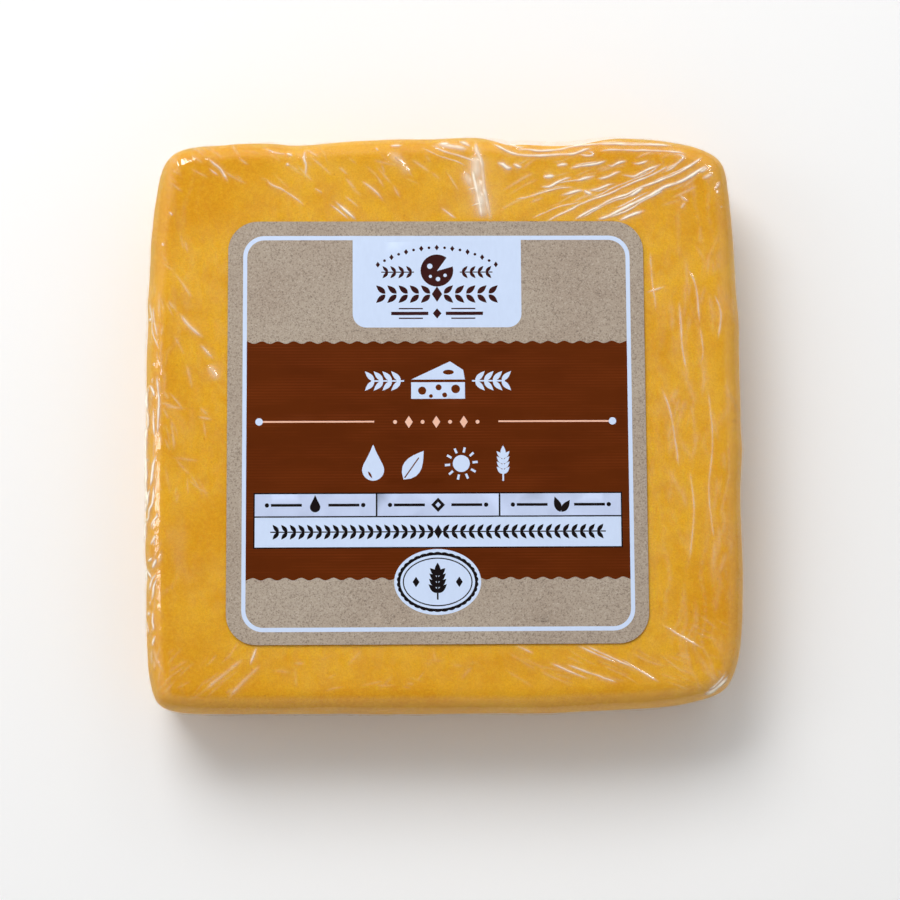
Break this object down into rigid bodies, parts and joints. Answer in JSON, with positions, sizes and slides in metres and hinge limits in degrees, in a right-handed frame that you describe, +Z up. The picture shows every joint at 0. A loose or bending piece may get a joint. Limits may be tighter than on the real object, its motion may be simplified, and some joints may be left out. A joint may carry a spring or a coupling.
{
  "type": "film-wrapped cheese slab",
  "caption": "Square slab of hard yellow cheese, tightly wrapped in clear film, with a square rounded-corner paper label on its top face.",
  "frame": {"origin": "centre of the slab's outline in X and Y, on its underside, where the film rests on a table", "axes": "+Z up through the thickness, out of the labelled face; +Y towards the label's top edge; +X to the label's right, along the slightly longer side"},
  "size_m": [0.11, 0.1074, 0.0199],
  "materials": {
    "cheese": "smooth, slightly oily cut cheese, warm orange yellow, faintly mottled",
    "film": "clear thin glossy vacuum film with fine creases",
    "label": "uncoated speckled brown paper with a plain printed border and bands"
  },
  "bodies": {
    "root": {"cheese_block": "cheese", "film_wrap": "film", "label": "label"}
  },
  "joints": []
}
